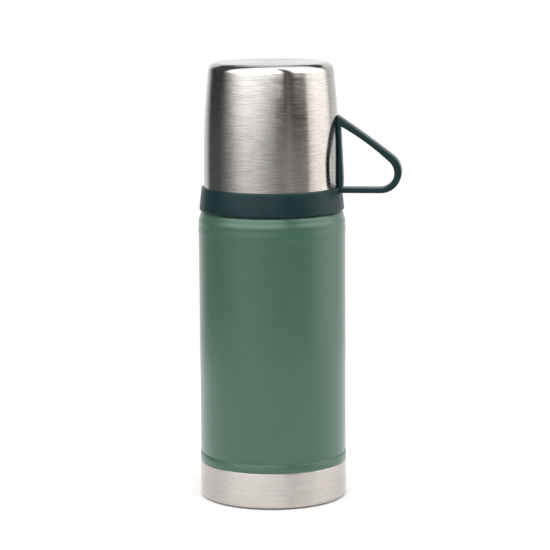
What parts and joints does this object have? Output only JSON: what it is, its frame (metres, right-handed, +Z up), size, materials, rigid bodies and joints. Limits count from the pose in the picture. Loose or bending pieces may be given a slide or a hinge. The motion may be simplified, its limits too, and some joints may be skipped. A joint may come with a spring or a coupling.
{
  "type": "vacuum flask",
  "caption": "Slim double-walled steel flask with a coated body, a bare base band, an inverted drinking cup with a loop handle and a push-button pour stopper.",
  "frame": {"origin": "centre of the base's underside, on the surface it stands on", "axes": "+Z up the flask's axis, +X towards the cup's handle, which is turned 6 degrees towards -Y"},
  "size_m": [0.1051, 0.076, 0.2256],
  "materials": {
    "green_coat": "satin powder coat",
    "brushed_steel": "brushed round the axis",
    "inner_steel": "electropolished",
    "copper": "bright copper foil",
    "dark_plastic": "fine moulded satin",
    "grey_plastic": "moulded satin",
    "white_plastic": "moulded",
    "silicone": "translucent silicone",
    "black_rubber": "matte rubber",
    "foam": "rigid foam",
    "spring_steel": "bright wire",
    "getter_metal": "sintered"
  },
  "bodies": {
    "flask": {"outer_shell": "green_coat", "outer_bottom": "inner_steel", "vacuum_plug": "getter_metal", "base_cover": "brushed_steel", "base_cushion": "black_rubber", "inner_liner": "inner_steel", "inner_bottom": "inner_steel", "copper_foil": "copper", "getter": "getter_metal", "neck_collar": "dark_plastic", "collar_gasket": "black_rubber"},
    "cup_seal": {"cup_gasket": "black_rubber"},
    "cup": {"cup_shell": "brushed_steel", "handle_ring": "dark_plastic"},
    "stopper_seal_ring": {"stopper_seal": "silicone"},
    "stopper": {"stopper_body": "grey_plastic", "stopper_foam": "foam", "foam_cover": "grey_plastic", "stopper_cap": "dark_plastic", "button_spring": "spring_steel", "stem_oring": "black_rubber", "key_spring": "spring_steel"},
    "button": {"push_button": "grey_plastic", "valve_stem": "white_plastic", "valve_plate": "white_plastic", "valve_seal": "silicone"},
    "key": {"release_key": "grey_plastic"}
  },
  "joints": [
    {"name": "cup_lift", "type": "slide", "parent": "flask", "child": "cup_seal", "axis": [0, 0, 1], "range_m": [0, 0.005]},
    {"name": "cup_turn", "type": "hinge", "parent": "cup_seal", "child": "cup", "pos_m": [0, 0, 0.15], "axis": [0, 0, 1], "range_deg": [0, 450]},
    {"name": "stopper_lift", "type": "slide", "parent": "flask", "child": "stopper_seal_ring", "axis": [0, 0, 1], "range_m": [0, 0.005]},
    {"name": "stopper_turn", "type": "hinge", "parent": "stopper_seal_ring", "child": "stopper", "pos_m": [0, 0, 0.16], "axis": [0, 0, 1], "range_deg": [0, 450]},
    {"name": "button_press", "type": "slide", "parent": "stopper", "child": "button", "axis": [0, 0, -1], "range_m": [0, 0.0035], "stiffness_N_per_m": 600, "springref_m": -0.004, "deforming": ["button_spring"]},
    {"name": "key_press", "type": "slide", "parent": "stopper", "child": "key", "axis": [0, -1, 0], "range_m": [0, 0.0012], "stiffness_N_per_m": 400, "springref_m": -0.002}
  ],
  "couplings": [
    {"joint": "cup_lift", "follows": "cup_turn", "m_per_rad": 0.00063662},
    {"joint": "stopper_lift", "follows": "stopper_turn", "m_per_rad": 0.00063662}
  ]
}
